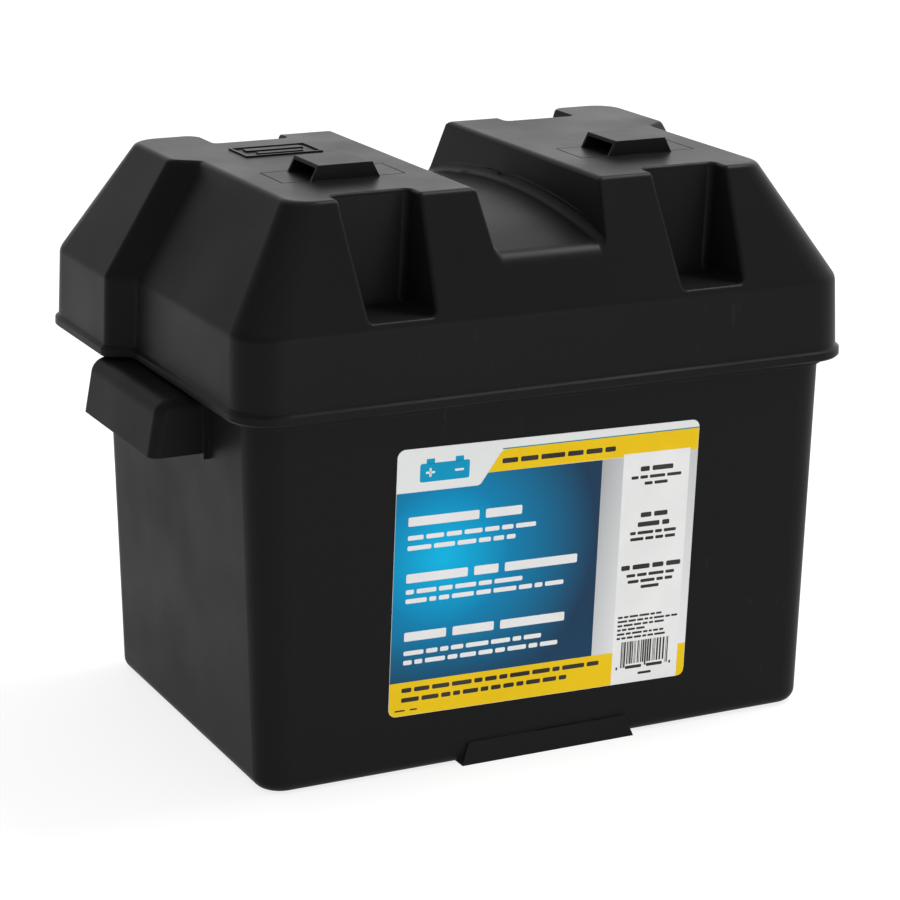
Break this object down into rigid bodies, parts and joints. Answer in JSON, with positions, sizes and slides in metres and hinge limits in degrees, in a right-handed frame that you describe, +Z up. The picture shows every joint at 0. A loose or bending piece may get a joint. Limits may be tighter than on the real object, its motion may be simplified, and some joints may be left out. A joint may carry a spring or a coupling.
{
  "type": "battery box with deep cycle battery",
  "caption": "Drafted plastic tub with end grips and a lift-off sloped lid with strap valley, pockets, vent hoods and cable exits, around a flooded lead-acid battery.",
  "frame": {"origin": "centre of the flat underside of the tub", "axes": "+X along the box's length, -Y towards the labelled front, +Z up"},
  "size_m": [0.3396, 0.2268, 0.2666],
  "materials": {
    "tub_plastic": "satin moulded polypropylene",
    "lid_plastic": "satin moulded polypropylene with a fine grain",
    "label_film": "printed film, semi-gloss",
    "case_plastic": "moulded polypropylene",
    "cover_plastic": "moulded polypropylene, grey",
    "strap_plastic": "flexible moulded strap",
    "cap_plastic": "moulded polypropylene",
    "seal_rubber": "soft rubber",
    "porous_plastic": "sintered porous plastic",
    "lead": "cast lead alloy, dull",
    "stainless": "stainless steel",
    "positive_plate": "dark brown pasted grid",
    "negative_plate": "grey pasted grid",
    "separator": "porous sheet"
  },
  "bodies": {
    "box": {"tub": "tub_plastic", "label": "label_film", "battery_case": "case_plastic", "battery_cover": "cover_plastic", "carry_strap": "strap_plastic", "cell_links": "lead", "stud_washers": "stainless", "positive_terminal": "lead", "positive_stud": "stainless", "negative_terminal": "lead", "negative_stud": "stainless", "positive_plates_1": "positive_plate", "negative_plates_1": "negative_plate", "separators_1": "separator", "positive_plates_2": "positive_plate", "negative_plates_2": "negative_plate", "separators_2": "separator", "positive_plates_3": "positive_plate", "negative_plates_3": "negative_plate", "separators_3": "separator", "positive_plates_4": "positive_plate", "negative_plates_4": "negative_plate", "separators_4": "separator", "positive_plates_5": "positive_plate", "negative_plates_5": "negative_plate", "separators_5": "separator", "positive_plates_6": "positive_plate", "negative_plates_6": "negative_plate", "separators_6": "separator"},
    "lid": {"lid": "lid_plastic"},
    "left_cap": {"vent_cap_left": "cap_plastic", "cap_seals_left": "seal_rubber", "arrestor_discs_left": "porous_plastic"},
    "right_cap": {"vent_cap_right": "cap_plastic", "cap_seals_right": "seal_rubber", "arrestor_discs_right": "porous_plastic"},
    "positive_nut": {"positive_wing_nut": "stainless"},
    "negative_nut": {"negative_wing_nut": "stainless"}
  },
  "joints": [
    {"name": "lid_lift", "type": "slide", "parent": "box", "child": "lid", "axis": [0, 0, 1], "range_m": [0, 0.12]},
    {"name": "left_cap_pull", "type": "slide", "parent": "box", "child": "left_cap", "axis": [0, 0, 1], "range_m": [0, 0.016]},
    {"name": "right_cap_pull", "type": "slide", "parent": "box", "child": "right_cap", "axis": [0, 0, 1], "range_m": [0, 0.016]},
    {"name": "positive_nut_turn", "type": "hinge", "parent": "box", "child": "positive_nut", "pos_m": [-0.112, -0.034, 0.2131], "axis": [0, 0, 1], "continuous": true},
    {"name": "negative_nut_turn", "type": "hinge", "parent": "box", "child": "negative_nut", "pos_m": [0.112, -0.034, 0.2131], "axis": [0, 0, 1], "continuous": true}
  ]
}
